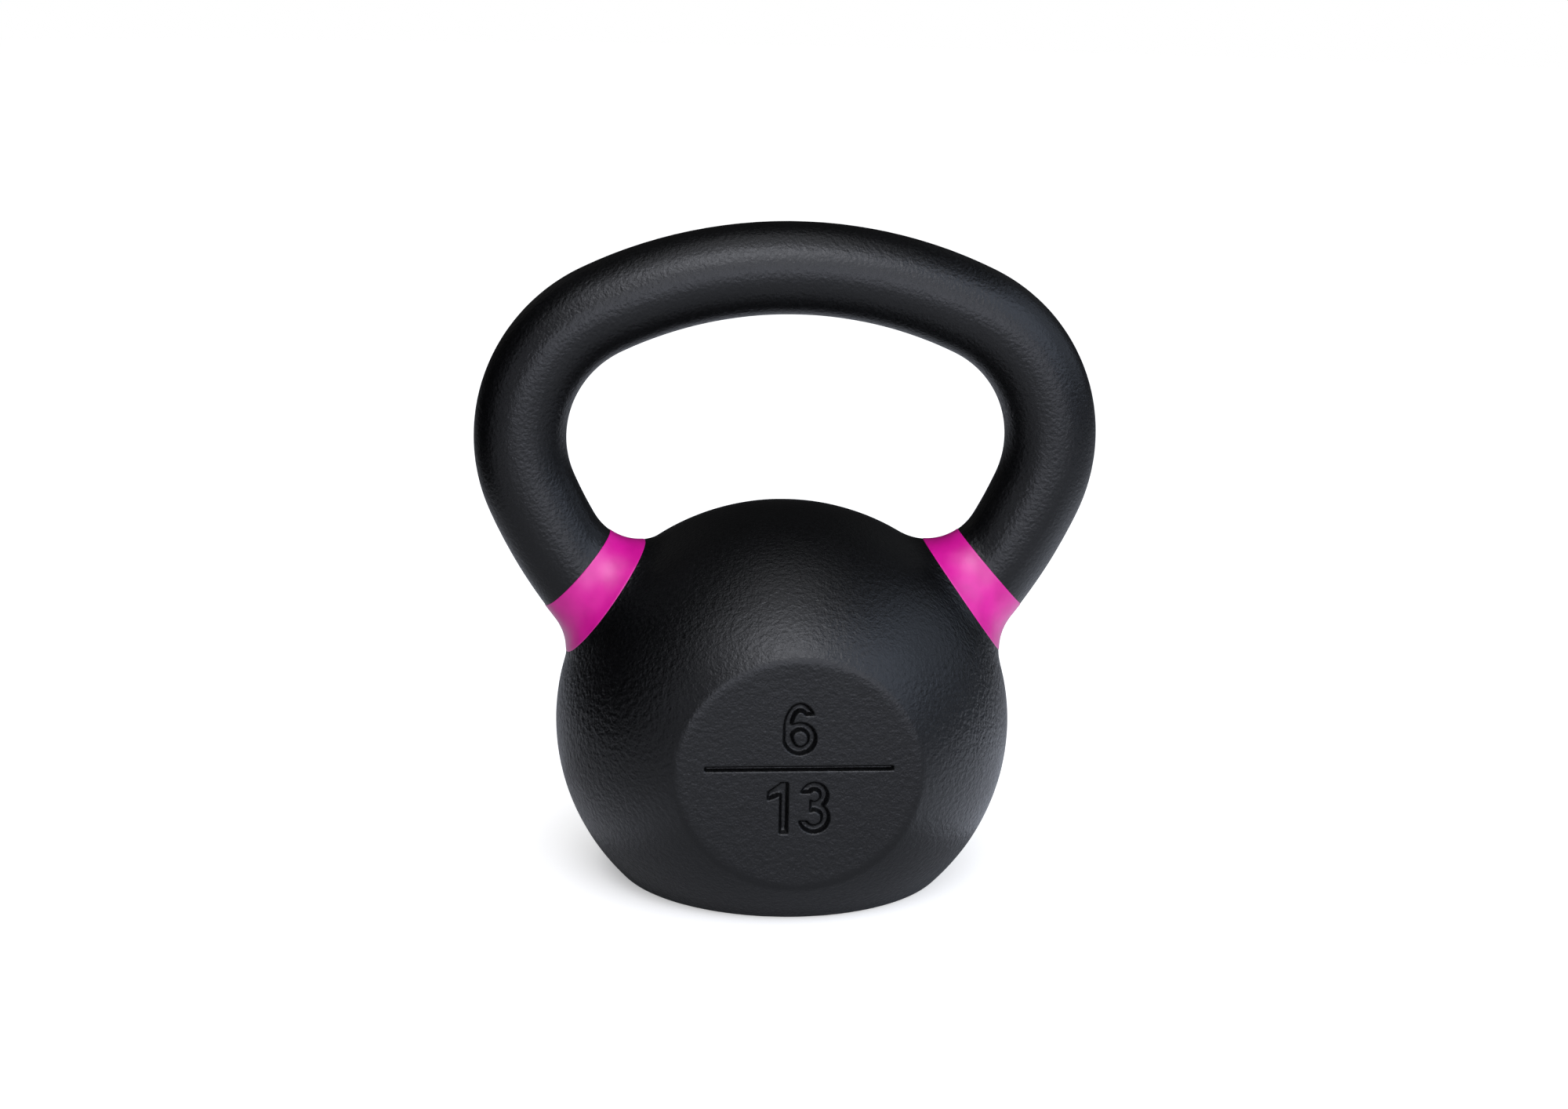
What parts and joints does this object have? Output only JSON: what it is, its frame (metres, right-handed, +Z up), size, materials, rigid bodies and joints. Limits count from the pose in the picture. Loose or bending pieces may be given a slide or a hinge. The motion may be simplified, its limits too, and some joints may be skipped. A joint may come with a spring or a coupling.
{
  "type": "kettlebell",
  "caption": "Cast-iron kettlebell: ball with flat base and flat engraved face, wide round loop handle, a coloured band on each horn.",
  "frame": {"origin": "centre of the flat base, on the surface that the kettlebell stands on", "axes": "+Z up, +X along the handle's span, -Y out of the engraved front face"},
  "size_m": [0.1572, 0.0994, 0.1676],
  "materials": {
    "black_iron_ball": "satin",
    "black_iron_handle": "satin",
    "magenta_enamel": "gloss"
  },
  "bodies": {
    "root": {"ball": "black_iron_ball", "handle": "black_iron_handle", "left_band": "magenta_enamel", "right_band": "magenta_enamel"}
  },
  "joints": []
}
